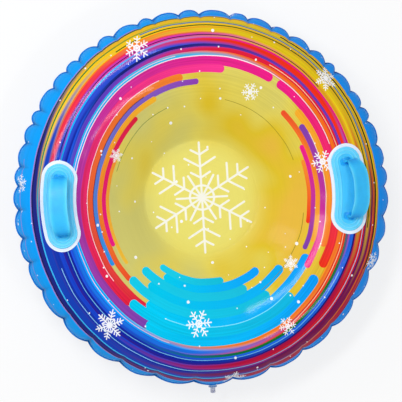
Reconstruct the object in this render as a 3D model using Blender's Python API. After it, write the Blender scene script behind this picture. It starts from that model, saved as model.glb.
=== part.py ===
"""A round inflatable snow sled: two welded sheets, two soft handles and an air valve.

Lengths are in metres and +Z is up. The origin is the middle of the seat floor's upper face,
the handles lie on the X axis, and the valve is at -Y.
"""

import math

import bmesh
import bpy
from mathutils import Matrix, Vector

# The inflated ring. Its crest is the highest circle, and its rim is welded at half height.
RIM_RADIUS = 0.505
RING_HEIGHT = 0.220
SEAT_RADIUS = 0.154
CREST_INSET = 0.114
WELD_WIDTH = 0.006
REST_BAND = 0.030
TOP_THICKNESS = 0.0005
BASE_THICKNESS = 0.0009

# The gap that touching pieces keep, the one under a plate that bends over a curved face,
# and the one between pieces that slide in each other
LAYER_GAP = 0.0003
CURVED_GAP = 0.0005
SLIDE_GAP = 0.0003

# Puckers of the rim: the seam draws the sheets in, so their edge lies in lobes between folds.
LOBES = 44
PUCKER_DEPTH = 0.012
PUCKER_DEPTH_SWING_SHARE = 0.2
WIDE_LOBE_SHARE = 0.30
TIGHT_LOBE_SHARE = 0.10
UNEVEN_LOBE_SHARE = 0.16

# Where the rows of the sheets lie: the outer wall's in shares of a quarter turn from the rim
# to the crest with the share of a pucker that each keeps, the inner wall's in shares of its width
OUTER_ROW_SHARES = ((1.0, 1.0), (0.84, 0.75), (0.68, 0.42), (0.50, 0.12), (0.34, 0.0), (0.17, 0.0))
INNER_ROW_SHARES = (0.0, 0.15, 0.33, 0.55, 0.78, 1.0)
WALL_BEND = 2.0

# Handle patches and the ribbed bases on them. They lie on the crest and bend along the ring.
PATCH_LENGTH = 0.240
PATCH_WIDTH = 0.094
PATCH_THICKNESS = 0.0010
PATCH_BORDER = 0.007
PLATE_THICKNESS = 0.0022
RIB_COUNT = 2
RIB_HEIGHT = 0.0014
RIB_WIDTH = 0.005
RIB_INSET = 0.007
RIB_PITCH = 0.009
PLATE_ROW_SHARES = (0.0, 0.27, 0.63, 0.95)
PLATE_END_STEPS = 8
PLATE_SIDE_STEPS = 6

# Grips: a soft band that arches from one round foot to the other, inside the ribs
FOOT_MARGIN = 0.013
GRIP_HEIGHT = 0.040
GRIP_WIDTH = 0.048
GRIP_THICKNESS = 0.004
FOOT_RADIUS = 0.006
FOOT_LENGTH = 0.014
RIGHT_GRIP_LEAN = math.radians(50)
GRIP_SIDES = 12

# Stations of the arch from the foot to the middle: shares of half the span, of the height,
# of the way from the foot's radius to the band's half width and to its half thickness,
# and how square the section is (1 is an ellipse)
ARCH_SHARES = (
    (0.90, 0.10, 0.03, 0.50, 0.90),
    (0.85, 0.28, 0.30, 0.80, 0.80),
    (0.79, 0.48, 0.58, 0.94, 0.70),
    (0.70, 0.68, 0.82, 1.00, 0.62),
    (0.56, 0.85, 0.97, 1.00, 0.60),
    (0.36, 0.96, 1.00, 1.00, 0.60),
    (0.00, 1.00, 1.00, 1.00, 0.60),
)
FOOT_CHAMFER_SHARE = 0.2

# The valve. Heights along it are counted outwards from the base sheet's outer face, and its
# pieces are laid round each other from the stem's bore outwards.
STEM_BORE = 0.0040
STEM_WALL = 0.0022
STEM_FOOT_LIP = 0.0006
STEM_FOOT_LENGTH = 0.004
STEM_EXPOSED = 0.008
STEM_INSIDE = 0.003
COLLAR_WALL = 0.0021
COLLAR_LENGTH = 0.017
FLANGE_WIDTH = 0.0098
FLANGE_THICKNESS = 0.0012
FLANGE_CLEARANCE = 0.0015
FLANGE_TO_SEAM = 0.007
PLUG_SHANK_LENGTH = 0.010
PLUG_RING_LIP = 0.0004
PLUG_RING_LENGTH = 0.0024
PLUG_GROOVE_DEPTH = 0.0016
PLUG_GROOVE_LENGTH = 0.0022
PLUG_CHAMFER = 0.0007
STRAP_THICKNESS = 0.0014
STRAP_WIDTH = 0.005
STRAP_RING_WALL = 0.0017
STRAP_RING_LENGTH = 0.0020
STRAP_RING_INSET = 0.0015
STRAP_EYE_WALL = 0.0017
FLAP_THICKNESS = 0.0008
FLAP_OVERLAP = 0.0014
VALVE_SIDES = 20
HOLE_OVERRUN = 0.006

# Edges that bend more than this are shown sharp
SHARP_ANGLE = math.radians(33)

# Sizes that follow from those above
WELD_RADIUS = RIM_RADIUS - WELD_WIDTH
CREST_RADIUS = WELD_RADIUS - CREST_INSET
SEAM_Z = -TOP_THICKNESS - LAYER_GAP / 2
PATCH_LIFT = CURVED_GAP
PLATE_LIFT = PATCH_LIFT + PATCH_THICKNESS + CURVED_GAP
PLATE_TOP = PLATE_LIFT + PLATE_THICKNESS
PLATE_LENGTH = PATCH_LENGTH - 2 * PATCH_BORDER
PLATE_WIDTH = PATCH_WIDTH - 2 * PATCH_BORDER
RIB_ZONE = RIB_INSET + (RIB_COUNT - 1) * RIB_PITCH + RIB_WIDTH
GRIP_SPAN = PLATE_LENGTH - 2 * (RIB_ZONE + FOOT_MARGIN) - FOOT_LENGTH
GRIP_AXIS_RADIUS = math.sqrt(CREST_RADIUS**2 - (GRIP_SPAN / 2) ** 2)
STEM_RADIUS = STEM_BORE + STEM_WALL
STEM_FOOT_RADIUS = STEM_RADIUS + STEM_FOOT_LIP
STEM_TOP = COLLAR_LENGTH + STEM_EXPOSED
COLLAR_BORE = STEM_FOOT_RADIUS + SLIDE_GAP
COLLAR_RADIUS = COLLAR_BORE + COLLAR_WALL
FLANGE_RADIUS = COLLAR_RADIUS + FLANGE_WIDTH
FLANGE_LIFT = -BASE_THICKNESS - FLANGE_CLEARANCE
VALVE_DROP = FLANGE_RADIUS + FLANGE_TO_SEAM
HEAD_BOTTOM = STEM_TOP + LAYER_GAP
GROOVE_BOTTOM = HEAD_BOTTOM + PLUG_RING_LENGTH
GROOVE_TOP = GROOVE_BOTTOM + PLUG_GROOVE_LENGTH
HEAD_TOP = GROOVE_TOP + PLUG_RING_LENGTH
PLUG_RING_RADIUS = STEM_RADIUS + PLUG_RING_LIP
PLUG_GROOVE_RADIUS = PLUG_RING_RADIUS - PLUG_GROOVE_DEPTH

MATERIALS = {
    "printed_sheet": ((0.02, 0.33, 0.91), 0.18, 1.0),
    "blue_sheet": ((0.01, 0.19, 0.72), 0.22, 1.0),
    "white_sheet": ((0.86, 0.88, 0.94), 0.25, 1.0),
    "handle_blue": ((0.10, 0.60, 1.00), 0.28, 1.0),
    "clear_blue": ((0.30, 0.55, 0.85), 0.20, 0.8),
    "clear_lilac": ((0.55, 0.55, 0.75), 0.20, 0.8),
}


def material(name):
    """The named finish, made once."""
    found = bpy.data.materials.get(name)
    if found:
        return found
    colour, roughness, alpha = MATERIALS[name]
    made = bpy.data.materials.new(name)
    made.use_nodes = True
    shader = made.node_tree.nodes["Principled BSDF"]
    shader.inputs["Base Color"].default_value = (*colour, 1.0)
    shader.inputs["Roughness"].default_value = roughness
    shader.inputs["Metallic"].default_value = 0.0
    shader.inputs["Alpha"].default_value = alpha
    return made


def finish_object(name, bm, finish):
    """Turns a closed bmesh into a smooth shaded object with its own copy of a finish."""
    bmesh.ops.recalc_face_normals(bm, faces=bm.faces)
    mesh = bpy.data.meshes.new(name)
    bm.to_mesh(mesh)
    bm.free()
    mesh.shade_smooth()
    mesh.set_sharp_from_angle(angle=SHARP_ANGLE)
    own = material(finish).copy()
    own.name = name + "_material"
    mesh.materials.append(own)
    thing = bpy.data.objects.new(name, mesh)
    bpy.context.scene.collection.objects.link(thing)
    return thing


def add_loop(bm, points):
    return [bm.verts.new(point) for point in points]


def bridge(bm, first, second):
    """Faces between two loops, the second with as many points or half as many."""
    count = len(second)
    step = len(first) // count
    for i in range(count):
        j = (i + 1) % count
        if step == 1:
            bm.faces.new((first[i], first[j], second[j], second[i]))
            continue
        a, b, c = first[2 * i], first[2 * i + 1], first[(2 * i + 2) % len(first)]
        bm.faces.new((a, b, second[i]))
        bm.faces.new((b, second[j], second[i]))
        bm.faces.new((b, c, second[j]))


def bridge_all(bm, loops, closed=False):
    """Joins loops in a row, and the last with the first where the body is a closed ring."""
    for first, second in zip(loops, loops[1:]):
        bridge(bm, first, second)
    if closed:
        bridge(bm, loops[-1], loops[0])


# The ring's surface


def outer_wall(quarter, crest_radius, rise):
    """Radius, height over the weld and normal of the outer wall, from the rim (1) to the crest (0)."""
    angle = quarter * math.pi / 2
    spread = WELD_RADIUS**2 - crest_radius**2
    radius = math.sqrt(crest_radius**2 + spread * math.sin(angle))
    normal = Vector((rise * math.sin(angle), spread * math.cos(angle) / (2 * radius))).normalized()
    return radius, rise * math.cos(angle), normal


def inner_wall(share, crest_radius, rise):
    """The same for the inner wall, from the crest (0) down to the seat (1)."""
    width = crest_radius - SEAT_RADIUS
    power = WALL_BEND + 1
    fall = (power * share - 1 + (1 - share) ** power) / WALL_BEND
    slope = rise / width * power / WALL_BEND * (1 - (1 - share) ** WALL_BEND)
    return crest_radius - share * width, rise * (1 - fall), Vector((-slope, 1)).normalized()


def wall_rise(thickness):
    """How far a sheet's outer face climbs from its weld to its crest."""
    return RING_HEIGHT / 2 - LAYER_GAP / 2 - thickness


def pucker_angles():
    """Where the rim's folds lie. The lobes are widest at the valve, which is in the middle of one."""
    angles = []
    for k in range(LOBES):
        turn = 2 * math.pi * (k + 0.5) / LOBES
        angle = turn + WIDE_LOBE_SHARE * math.sin(turn) + TIGHT_LOBE_SHARE * math.sin(2 * turn)
        uneven = UNEVEN_LOBE_SHARE * 2 * math.pi / LOBES * math.sin(k * k) * math.sin(turn / 2)
        angles.append(angle + uneven - math.pi / 2)
    return angles


def rim_columns():
    """Angle and pucker depth of each column: a fold, then two columns on the lobe after it."""
    angles = pucker_angles()
    columns = []
    for k, angle in enumerate(angles):
        following = angles[k + 1] if k + 1 < LOBES else angles[0] + 2 * math.pi
        depth = PUCKER_DEPTH * (1 - PUCKER_DEPTH_SWING_SHARE * (1 + math.sin(5 * k)) / 2)
        columns.append((angle, depth))
        columns.append((angle + (following - angle) / 3, 0.0))
        columns.append((angle + (following - angle) * 2 / 3, 0.0))
    return columns


def round_point(angle, radius, z):
    return Vector((radius * math.cos(angle), radius * math.sin(angle), z))


def sheet_loop(bm, columns, side, radius, height, normal, pucker):
    """One row of a sheet. Folds are drawn in along the wall's normal."""
    points = []
    for angle, depth in columns:
        drawn = depth * pucker
        z = SEAM_Z + side * (height - drawn * normal.y)
        points.append(round_point(angle, radius - drawn * normal.x, z))
    return add_loop(bm, points)


def sheet(name, side, thickness, band, finish):
    """A welded sheet: flange, outer wall, resting band, inner wall and seat floor."""
    bm = bmesh.new()
    rise = wall_rise(thickness)
    near = LAYER_GAP / 2
    far = near + thickness
    rim = Vector((1, 0))
    fine = rim_columns()
    coarse = fine[::2]
    rows = []
    for quarter, pucker in OUTER_ROW_SHARES:
        rows.append((*outer_wall(quarter, CREST_RADIUS + band / 2, rise), pucker))
    if band:
        rows.append((*outer_wall(0, CREST_RADIUS + band / 2, rise), 0.0))
    for share in INNER_ROW_SHARES:
        rows.append((*inner_wall(share, CREST_RADIUS - band / 2, rise), 0.0))
    outside = [sheet_loop(bm, fine, side, RIM_RADIUS, far, rim, 1.0)]
    inside = [sheet_loop(bm, fine, side, RIM_RADIUS, near, rim, 1.0)]
    for i, (radius, height, normal, pucker) in enumerate(rows):
        columns = fine if i == 0 or pucker else coarse
        outside.append(sheet_loop(bm, columns, side, radius, far + height, normal, pucker))
        if i == 0:
            corner = (radius - thickness, near)
        elif i == len(rows) - 1:
            slope = math.acos(normal.y)
            corner = (radius + thickness * math.tan(slope / 2), near)
        else:
            corner = (radius - thickness * normal.x, far + height - thickness * normal.y)
        inside.append(sheet_loop(bm, columns, side, *corner, normal, pucker))
    bridge_all(bm, outside)
    bridge_all(bm, inside)
    bridge(bm, outside[0], inside[0])
    bm.faces.new(outside[-1])
    bm.faces.new(inside[-1])
    return finish_object(name, bm, finish)


# Handle patches and bases


def on_crest(along, across, lift):
    """A point over the top sheet: along the crest, across it (outwards) and lifted off it."""
    rise = wall_rise(TOP_THICKNESS)
    radius = CREST_RADIUS + across
    if across > 0:
        spread = WELD_RADIUS**2 - CREST_RADIUS**2
        quarter = math.asin((radius**2 - CREST_RADIUS**2) / spread) / (math.pi / 2)
        _, height, normal = outer_wall(quarter, CREST_RADIUS, rise)
    else:
        share = -across / (CREST_RADIUS - SEAT_RADIUS)
        _, height, normal = inner_wall(share, CREST_RADIUS, rise)
    return round_point(along / CREST_RADIUS, radius + lift * normal.x, height + lift * normal.y)


def oblong(length, width, inset):
    """Outline with round ends. Points i and -i mirror each other across its long axis."""
    reach = (length - width) / 2
    radius = width / 2 - inset
    half = []
    for i in range(PLATE_END_STEPS // 2 + 1):
        angle = math.pi * i / PLATE_END_STEPS
        half.append((reach + radius * math.cos(angle), radius * math.sin(angle)))
    for i in range(1, PLATE_SIDE_STEPS):
        half.append((reach * (1 - 2 * i / PLATE_SIDE_STEPS), radius))
    for i in range(PLATE_END_STEPS // 2 + 1):
        angle = math.pi / 2 + math.pi * i / PLATE_END_STEPS
        half.append((-reach + radius * math.cos(angle), radius * math.sin(angle)))
    return half + [(along, -across) for along, across in half[-2:0:-1]]


def close_oblong(bm, loop):
    """Fills an oblong with strips straight across it."""
    count = len(loop)
    half = count // 2
    bm.faces.new((loop[0], loop[1], loop[-1]))
    for i in range(1, half - 1):
        bm.faces.new((loop[i], loop[i + 1], loop[count - i - 1], loop[count - i]))
    bm.faces.new((loop[half - 1], loop[half], loop[half + 1]))


def crest_plate(name, length, width, rows, finish, angle):
    """An oblong plate on the crest. rows are (inset, lift) pairs, from under its middle to over it."""
    bm = bmesh.new()
    loops = []
    for inset, lift in rows:
        outline = oblong(length, width, inset)
        loops.append(add_loop(bm, [on_crest(along, across, lift) for along, across in outline]))
    bridge_all(bm, loops)
    close_oblong(bm, loops[0])
    close_oblong(bm, loops[-1])
    plate = finish_object(name, bm, finish)
    plate.rotation_euler.z = angle
    return plate


def handle_patch(name, angle):
    insets = [share * PATCH_WIDTH / 2 for share in PLATE_ROW_SHARES]
    rows = [(inset, PATCH_LIFT) for inset in reversed(insets)]
    rows += [(inset, PATCH_LIFT + PATCH_THICKNESS) for inset in insets]
    return crest_plate(name, PATCH_LENGTH, PATCH_WIDTH, rows, "white_sheet", angle)


def handle_base(name, angle):
    insets = [share * PLATE_WIDTH / 2 for share in PLATE_ROW_SHARES]
    rows = [(inset, PLATE_LIFT) for inset in reversed(insets)]
    rows.append((0.0, PLATE_TOP))
    for i in range(RIB_COUNT):
        start = RIB_INSET + i * RIB_PITCH
        rows.append((start, PLATE_TOP))
        rows.append((start + RIB_WIDTH / 2, PLATE_TOP + RIB_HEIGHT))
        rows.append((start + RIB_WIDTH, PLATE_TOP))
    rows.append((insets[-1], PLATE_TOP))
    return crest_plate(name, PLATE_LENGTH, PLATE_WIDTH, rows, "handle_blue", angle)


# Grips


def grip_stations():
    """Place, half width, half thickness and squareness of each section, from foot to foot."""
    reach = GRIP_SPAN / 2
    tip = FOOT_RADIUS * (1 - FOOT_CHAMFER_SHARE)
    half = [
        (reach + FOOT_LENGTH / 2, 0.0, tip, tip, 1.0),
        (reach + FOOT_LENGTH / 2 - FOOT_RADIUS + tip, 0.0, FOOT_RADIUS, FOOT_RADIUS, 1.0),
        (reach - FOOT_LENGTH / 4, 0.0, FOOT_RADIUS, FOOT_RADIUS, 1.0),
    ]
    for along, height, width, thickness, square in ARCH_SHARES:
        half_width = FOOT_RADIUS + (GRIP_WIDTH / 2 - FOOT_RADIUS) * width
        half_thickness = FOOT_RADIUS + (GRIP_THICKNESS / 2 - FOOT_RADIUS) * thickness
        half.append((reach * along, GRIP_HEIGHT * height, half_width, half_thickness, square))
    return half + [(-station[0], *station[1:]) for station in half[-2::-1]]


def swell(value, square):
    return math.copysign(abs(value) ** square, value)


GRIP_AXIS_Z = wall_rise(TOP_THICKNESS) + PLATE_TOP + LAYER_GAP + FOOT_RADIUS


def handle_grip(name, angle, lean):
    """The band, about its hinge line. Between the feet it bows outwards along the crest."""
    bm = bmesh.new()
    stations = grip_stations()
    loops = []
    for i, (along, height, half_width, half_thickness, square) in enumerate(stations):
        before = stations[max(i - 1, 0)]
        after = stations[min(i + 1, len(stations) - 1)]
        run = Vector((after[0] - before[0], after[1] - before[1])).normalized()
        bow = 0.0
        if abs(along) < (GRIP_SPAN - FOOT_LENGTH) / 2:
            bow = math.sqrt(CREST_RADIUS**2 - along**2) - GRIP_AXIS_RADIUS
        points = []
        for j in range(GRIP_SIDES):
            turn = 2 * math.pi * j / GRIP_SIDES
            out = half_width * swell(math.cos(turn), square)
            up = half_thickness * swell(math.sin(turn), square)
            points.append((bow + out, along + up * run.y, height - up * run.x))
        loops.append(add_loop(bm, points))
    bridge_all(bm, loops)
    bm.faces.new(loops[0])
    bm.faces.new(loops[-1])
    grip = finish_object(name, bm, "handle_blue")
    grip.location = round_point(angle, GRIP_AXIS_RADIUS, GRIP_AXIS_Z)
    grip.rotation_euler = (0.0, lean, angle)
    return grip


# Valve


BASE_RISE = wall_rise(BASE_THICKNESS)
BASE_CREST = CREST_RADIUS + REST_BAND / 2


def wall_rate(quarter):
    """Length of the base's outer wall to a quarter turn of its angle, at that place."""
    radius, _, _ = outer_wall(quarter, BASE_CREST, BASE_RISE)
    angle = quarter * math.pi / 2
    spread = WELD_RADIUS**2 - BASE_CREST**2
    along = spread * math.cos(angle) / (2 * radius)
    return math.hypot(along, BASE_RISE * math.sin(angle)) * math.pi / 2


VALVE_QUARTER = 1 - VALVE_DROP / wall_rate(1.0)


def valve_frame():
    """The valve's place: X along the rim, Y up the wall, Z out of it."""
    radius, height, normal = outer_wall(VALVE_QUARTER, BASE_CREST, BASE_RISE)
    drop = LAYER_GAP / 2 + BASE_THICKNESS + height
    out = Vector((0, -normal.x, -normal.y))
    side = Vector((1, 0, 0))
    turn = Matrix((side, out.cross(side), out)).transposed()
    return Matrix.Translation((0, -radius, SEAM_Z - drop)) @ turn.to_4x4()


def on_base(sideways, up, lift):
    """A point over the base sheet near the valve, in the valve's own frame."""
    quarter = VALVE_QUARTER + up / wall_rate(VALVE_QUARTER)
    radius, height, normal = outer_wall(quarter, BASE_CREST, BASE_RISE)
    middle, _, _ = outer_wall(VALVE_QUARTER, BASE_CREST, BASE_RISE)
    drop = LAYER_GAP / 2 + BASE_THICKNESS + height + lift * normal.y
    place = round_point(sideways / middle - math.pi / 2, radius + lift * normal.x, SEAM_Z - drop)
    return valve_frame().inverted() @ place


def ring_points(radius, height):
    points = []
    for i in range(VALVE_SIDES):
        turn = 2 * math.pi * i / VALVE_SIDES
        points.append(Vector((radius * math.cos(turn), radius * math.sin(turn), height)))
    return points


def turned(bm, profile, closed):
    """A turned body from (radius, height) pairs: a ring, or a solid with flat ends."""
    loops = [add_loop(bm, ring_points(radius, height)) for radius, height in profile]
    bridge_all(bm, loops, closed)
    if not closed:
        bm.faces.new(loops[0])
        bm.faces.new(loops[-1])


def valve_piece(name, bm, finish, axis):
    piece = finish_object(name, bm, finish)
    piece.parent = axis
    return piece


def valve_flange(axis):
    """A curved washer inside the base sheet, in one piece with the collar."""
    bm = bmesh.new()
    loops = []
    for radius, lift in (
        (COLLAR_BORE, FLANGE_LIFT - FLANGE_THICKNESS),
        ((COLLAR_RADIUS + FLANGE_RADIUS) / 2, FLANGE_LIFT - FLANGE_THICKNESS),
        (FLANGE_RADIUS, FLANGE_LIFT - FLANGE_THICKNESS),
        (FLANGE_RADIUS, FLANGE_LIFT),
        ((COLLAR_RADIUS + FLANGE_RADIUS) / 2, FLANGE_LIFT),
        (COLLAR_RADIUS, FLANGE_LIFT),
    ):
        points = [on_base(point.x, point.y, lift) for point in ring_points(radius, 0.0)]
        loops.append(add_loop(bm, points))
    for radius in (COLLAR_RADIUS, COLLAR_BORE):
        loops.append(add_loop(bm, ring_points(radius, COLLAR_LENGTH)))
    bridge_all(bm, loops, closed=True)
    return valve_piece("valve_flange", bm, "clear_blue", axis)


def valve_stem(axis):
    bm = bmesh.new()
    profile = [
        (STEM_BORE, -STEM_INSIDE),
        (STEM_FOOT_RADIUS, -STEM_INSIDE),
        (STEM_FOOT_RADIUS, STEM_FOOT_LENGTH - STEM_INSIDE),
        (STEM_RADIUS, STEM_FOOT_LENGTH - STEM_INSIDE),
        (STEM_RADIUS, STEM_TOP),
        (STEM_BORE, STEM_TOP),
    ]
    turned(bm, profile, closed=True)
    return valve_piece("valve_stem", bm, "clear_lilac", axis)


def valve_plug(axis):
    bm = bmesh.new()
    shank = STEM_BORE - SLIDE_GAP
    profile = [
        (shank - PLUG_CHAMFER, STEM_TOP - PLUG_SHANK_LENGTH),
        (shank, STEM_TOP - PLUG_SHANK_LENGTH + PLUG_CHAMFER),
        (shank, HEAD_BOTTOM),
        (PLUG_RING_RADIUS, HEAD_BOTTOM),
        (PLUG_RING_RADIUS, GROOVE_BOTTOM),
        (PLUG_GROOVE_RADIUS, GROOVE_BOTTOM),
        (PLUG_GROOVE_RADIUS, GROOVE_TOP),
        (PLUG_RING_RADIUS, GROOVE_TOP),
        (PLUG_RING_RADIUS, HEAD_TOP - PLUG_CHAMFER),
        (PLUG_RING_RADIUS - PLUG_CHAMFER, HEAD_TOP),
    ]
    turned(bm, profile, closed=False)
    return valve_piece("valve_plug", bm, "clear_lilac", axis)


def ring_section(bore, wall, bottom, length):
    top = bottom + length
    return [(bore, bottom), (bore + wall, bottom), (bore + wall, top), (bore, top)]


def strap_helper(name, bm, axis):
    """A shape that a modifier joins to the strap."""
    helper = valve_piece(name, bm, "clear_lilac", axis)
    helper.hide_render = True
    helper.display_type = "WIRE"
    return helper


def join(target, helper):
    union = target.modifiers.new("join_" + helper.name, "BOOLEAN")
    union.operation = "UNION"
    union.solver = "EXACT"
    union.object = helper


def valve_strap(axis):
    """The tether: a ring round the collar, an arm under the valve and an eye in the plug's groove."""
    ring_bore = COLLAR_RADIUS + SLIDE_GAP
    ring_bottom = COLLAR_LENGTH - STRAP_RING_INSET - STRAP_RING_LENGTH
    eye_bore = PLUG_GROOVE_RADIUS + SLIDE_GAP
    eye_bottom = (GROOVE_BOTTOM + GROOVE_TOP - STRAP_THICKNESS) / 2
    eye_top = eye_bottom + STRAP_THICKNESS
    arm_out = ring_bore + STRAP_RING_WALL
    arm_in = arm_out - STRAP_THICKNESS
    half = STRAP_WIDTH / 2
    foot = ring_bottom + STRAP_RING_LENGTH / 2
    bend = [
        ((eye_bore + STRAP_EYE_WALL / 2, eye_bottom), (eye_bore + STRAP_EYE_WALL / 2, eye_top)),
        ((arm_in, eye_bottom), (arm_in, eye_top)),
        ((arm_in, foot), (arm_out, foot)),
    ]
    bm = bmesh.new()
    loops = []
    for (low_radius, low), (high_radius, high) in bend:
        low_edge = [(side, -low_radius, low) for side in (-half, half)]
        high_edge = [(side, -high_radius, high) for side in (half, -half)]
        loops.append(add_loop(bm, low_edge + high_edge))
    bridge_all(bm, loops)
    bm.faces.new(loops[0])
    bm.faces.new(loops[-1])
    strap = valve_piece("valve_strap", bm, "clear_lilac", axis)
    bm = bmesh.new()
    turned(bm, ring_section(ring_bore, STRAP_RING_WALL, ring_bottom, STRAP_RING_LENGTH), closed=True)
    join(strap, strap_helper("strap_ring", bm, axis))
    bm = bmesh.new()
    turned(bm, ring_section(eye_bore, STRAP_EYE_WALL, eye_bottom, STRAP_THICKNESS), closed=True)
    join(strap, strap_helper("strap_eye", bm, axis))
    return strap


def valve_flap(axis):
    """The non-return flap, hung at its upper edge under the stem's inner end."""
    radius = STEM_BORE + FLAP_OVERLAP
    bm = bmesh.new()
    points = ring_points(radius, 0.0)
    hinge = Vector((0, radius, 0))
    top = FLAP_THICKNESS / 2
    loops = []
    for height in (-top, top):
        loops.append(add_loop(bm, [point - hinge + Vector((0, 0, height)) for point in points]))
    bridge_all(bm, loops)
    bm.faces.new(loops[0])
    bm.faces.new(loops[-1])
    flap = valve_piece("valve_flap", bm, "clear_lilac", axis)
    flap.location = hinge + Vector((0, 0, -STEM_INSIDE - LAYER_GAP - top))
    return flap


def cut_valve_hole(target, axis):
    """The round hole in the base sheet that the collar comes out through."""
    bm = bmesh.new()
    radius = COLLAR_RADIUS + SLIDE_GAP
    turned(bm, [(radius, -HOLE_OVERRUN), (radius, HOLE_OVERRUN)], closed=False)
    cutter = valve_piece("valve_hole_cutter", bm, "clear_blue", axis)
    cutter.hide_render = True
    cutter.display_type = "WIRE"
    cut = target.modifiers.new("valve_hole", "BOOLEAN")
    cut.operation = "DIFFERENCE"
    cut.solver = "EXACT"
    cut.object = cutter


def main():
    for thing in list(bpy.data.objects):
        bpy.data.objects.remove(thing)
    sheet("top_sheet", 1, TOP_THICKNESS, 0.0, "printed_sheet")
    base = sheet("base_sheet", -1, BASE_THICKNESS, REST_BAND, "blue_sheet")
    for where, angle, lean in (("left", math.pi, 0.0), ("right", 0.0, RIGHT_GRIP_LEAN)):
        handle_patch("handle_patch_" + where, angle)
        handle_base("handle_base_" + where, angle)
        handle_grip("handle_grip_" + where, angle, lean)
    axis = bpy.data.objects.new("valve_axis", None)
    bpy.context.scene.collection.objects.link(axis)
    axis.matrix_world = valve_frame()
    cut_valve_hole(base, axis)
    valve_flange(axis)
    valve_stem(axis)
    valve_flap(axis)
    valve_plug(axis)
    valve_strap(axis)


main()
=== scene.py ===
"""The looks of a round inflatable sled: printed film, handles, valve, studio and camera."""

from functools import partial
from math import asin, cos, pi, radians, sin

import bmesh
import bpy
import numpy as np
from mathutils import Matrix, Vector


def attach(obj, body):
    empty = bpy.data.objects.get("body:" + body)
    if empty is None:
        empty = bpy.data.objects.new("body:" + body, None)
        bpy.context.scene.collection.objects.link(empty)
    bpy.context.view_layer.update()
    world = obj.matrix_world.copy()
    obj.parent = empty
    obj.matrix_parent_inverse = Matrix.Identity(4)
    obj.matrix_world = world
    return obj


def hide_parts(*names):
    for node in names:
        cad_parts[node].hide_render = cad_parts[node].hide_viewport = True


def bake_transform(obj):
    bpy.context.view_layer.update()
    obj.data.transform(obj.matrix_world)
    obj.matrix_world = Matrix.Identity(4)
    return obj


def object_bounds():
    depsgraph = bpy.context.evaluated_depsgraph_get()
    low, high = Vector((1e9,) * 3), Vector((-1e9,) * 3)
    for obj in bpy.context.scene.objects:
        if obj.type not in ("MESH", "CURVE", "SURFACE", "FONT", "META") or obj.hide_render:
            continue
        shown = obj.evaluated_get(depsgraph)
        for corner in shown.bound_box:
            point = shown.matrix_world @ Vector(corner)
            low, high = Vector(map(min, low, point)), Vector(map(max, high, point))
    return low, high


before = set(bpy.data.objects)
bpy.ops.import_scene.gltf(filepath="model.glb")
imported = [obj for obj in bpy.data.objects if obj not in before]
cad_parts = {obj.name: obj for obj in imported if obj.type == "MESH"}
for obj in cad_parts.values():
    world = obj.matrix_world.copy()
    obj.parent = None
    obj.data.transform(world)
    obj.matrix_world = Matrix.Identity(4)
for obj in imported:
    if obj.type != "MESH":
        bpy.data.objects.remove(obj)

cad_box = [list(corner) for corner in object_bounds()]
MM = 0.001

# The ring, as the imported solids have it
RIM_RADIUS = 0.505
WELD_RADIUS = 0.499
CREST_RADIUS = 0.385
SEAT_RADIUS = 0.154
RING_HEIGHT = 0.22
SEAM_Z = -0.00065
LAYER_GAP = 0.0003
TOP_THICKNESS = 0.0005
BASE_THICKNESS = 0.0009
REST_BAND = 0.03
WALL_BEND = 2

# Folds of the rim, as in the solids
LOBES = 44
PUCKER_DEPTH = 0.012
WIDE_LOBE_SHARE = 0.3
TIGHT_LOBE_SHARE = 0.1
UNEVEN_LOBE_SHARE = 0.16
FOLD_REACH_SHARE = 0.66
FOLD_DEPTH_VARIETY = 0.2

# Finer forms of the film. A span is: over how much it rises, where it ends, over how much it fades
FOLD_TAPER = 1.15
FOLD_SHARPNESS = 2.3
FOLD_NARROWING = 3.6
FOLD_VARIETY = 0.5
PILLOW_HEIGHT = 0.0022
PILLOW_SPAN = (0.012, 0.095, 0.07)
SEAM_WAVE = 0.0022
CREASES_PER_FOLD = 4
CREASE_OFFSET = 0.9
CREASE_SLANT = 0.5
CREASE_STARTS = (0, 0.018)
CREASE_LENGTHS = (0.02, 0.07)
CREASE_DEPTHS = (0.0003, 0.0011)
CREASE_WIDTHS = (0.0018, 0.0036)
CREASE_SPAN = (0.25, 1, 0.625)
DENT_DEPTH = 0.0007
DENT_SPAN = (0.03, 0.4, 0.1)
SEAT_WELD_WIDTH = 0.005
SEAT_WELD_DEPTH = 0.0002
SEAT_RIPPLE = 0.00035
SEAT_RIPPLE_FADE = 0.03

# How finely the film is divided, and how closely rows and columns crowd at the folds.
# Inside each thinning radius a row has half the points
LOBE_COLUMNS = 12
COLUMN_CROWDING = 0.8
OUTER_ROWS = 36
OUTER_CROWDING = 1.12
INNER_ROWS = 32
INNER_CROWDING = 0.94
SEAT_ROWS = 13
THINNING_RADII = (0.27, 0.12, 0.05)
CREST_QUARTER = 0.4  # rows below this pass the patches or the rest band
MAP_MARGIN = 1.01

# Handles
PATCH_LENGTH = 0.24
PATCH_WIDTH = 0.094
PATCH_LIFT = 0.0005
PATCH_THICKNESS = 0.001
PATCH_SURROUND = 0.02
PLATE_BORDER = 0.009
PLATE_LIFT = 0.002
PLATE_TOP = 0.0042
CHANNEL_DEPTH = 0.0003
RIB_HEIGHT = 0.0014
RIB_WIDTH = 0.005
RIB_INSETS = (0.005, 0.014)
FOOT_WELL = (0.022, 0.03)
FOOT_WELL_CORNER = 0.008
FOOT_WELL_SLOPE = 0.005
FOOT_WELL_DEPTH = 0.0016
FOOT_BOSS = (0.024, 0.021)
FOOT_BOSS_HEIGHT = 0.0048
GRIP_SPAN = 0.144
FOOT_RADIUS = 0.006
GRIP_AXIS_RADIUS = 0.378208
GRIP_AXIS_Z = 0.11985
RIGHT_GRIP_LEAN = radians(50)
RIGHT_GRIP_UNTWIST = radians(24)
LEFT_GRIP_LEAN = radians(3)
BEND_START = -0.003
BEND_END = 0.01

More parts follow.
